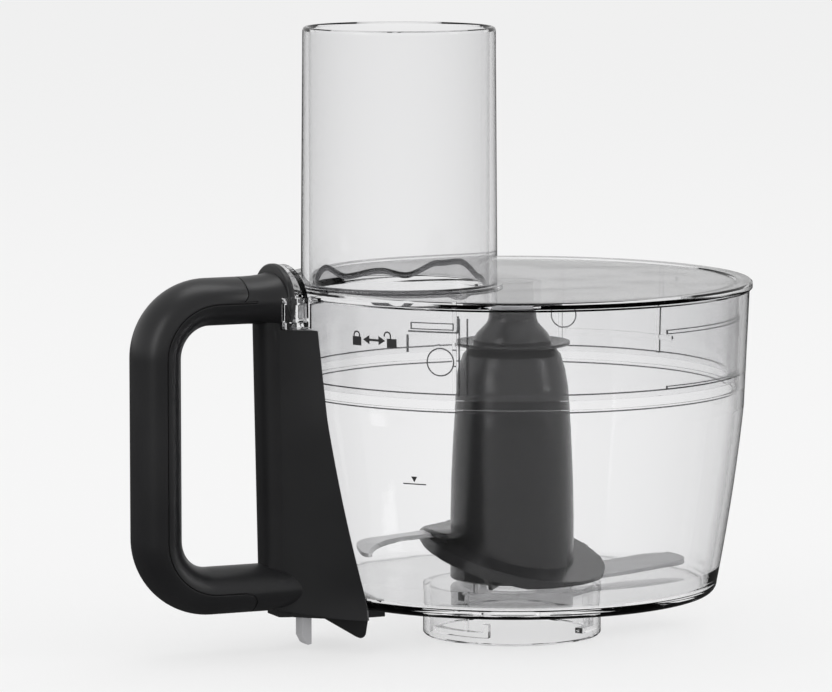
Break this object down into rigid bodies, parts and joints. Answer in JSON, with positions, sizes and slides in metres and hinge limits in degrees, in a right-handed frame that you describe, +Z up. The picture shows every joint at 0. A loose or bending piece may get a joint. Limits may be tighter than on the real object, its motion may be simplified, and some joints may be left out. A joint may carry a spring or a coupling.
{
  "type": "food processor bowl attachment",
  "caption": "Clear food processor bowl with a black D-handle, clear lid with a wide feed tube, tall knife with sickle blades, and a lid interlock.",
  "frame": {"origin": "on the bowl's axis, in the plane of the base ring's lower edge", "axes": "+Z up along the bowl's axis, the handle at -X, the lid opens by turning about +Z"},
  "size_m": [0.2588, 0.192, 0.245],
  "materials": {
    "clear_plastic": "clear moulded plastic, polished",
    "black_plastic": "satin black moulded plastic with a fine spark texture",
    "hub_plastic": "semi-gloss black moulded plastic",
    "grey_plastic": "plain grey moulded plastic",
    "blade_steel": "stamped stainless steel, lightly brushed, ground cutting edge",
    "bright_steel": "bright turned or drawn steel"
  },
  "bodies": {
    "bowl": {"bowl": "clear_plastic", "chimney_sleeve": "grey_plastic", "handle_body": "black_plastic", "grip_cover": "black_plastic", "thumb_guard": "black_plastic", "handle_foot": "black_plastic", "foot_screws": "bright_steel", "rod_guide": "grey_plastic", "interlock_spring": "bright_steel"},
    "rod": {"interlock_rod": "grey_plastic", "spring_washer": "bright_steel"},
    "lid_bearing": {"lid_bush": "grey_plastic"},
    "lid": {"lid": "clear_plastic", "feed_tube": "clear_plastic"},
    "knife": {"knife_hub": "hub_plastic", "blade_carrier": "hub_plastic", "upper_blade": "blade_steel", "lower_blade": "blade_steel", "hub_collar": "hub_plastic", "hub_cap": "hub_plastic", "hub_pin": "bright_steel", "drive_socket": "grey_plastic"}
  },
  "joints": [
    {"name": "lid_lift", "type": "slide", "parent": "bowl", "child": "lid_bearing", "axis": [0, 0, 1], "range_m": [0, 0.08]},
    {"name": "lid_turn", "type": "hinge", "parent": "lid_bearing", "child": "lid", "pos_m": [0, 0, 0.136], "axis": [0, 0, 1], "range_deg": [0, 12]},
    {"name": "rod_slide", "type": "slide", "parent": "bowl", "child": "rod", "axis": [0, 0, 1], "range_m": [0, 0.0042], "stiffness_N_per_m": 250, "springref_m": 0.018, "deforming": ["interlock_spring"]},
    {"name": "knife_spin", "type": "hinge", "parent": "bowl", "child": "knife", "pos_m": [0, 0, 0.09], "axis": [0, 0, 1], "continuous": true}
  ],
  "couplings": [
    {"joint": "rod_slide", "follows": "lid_turn", "m_per_rad": 0.019099}
  ]
}
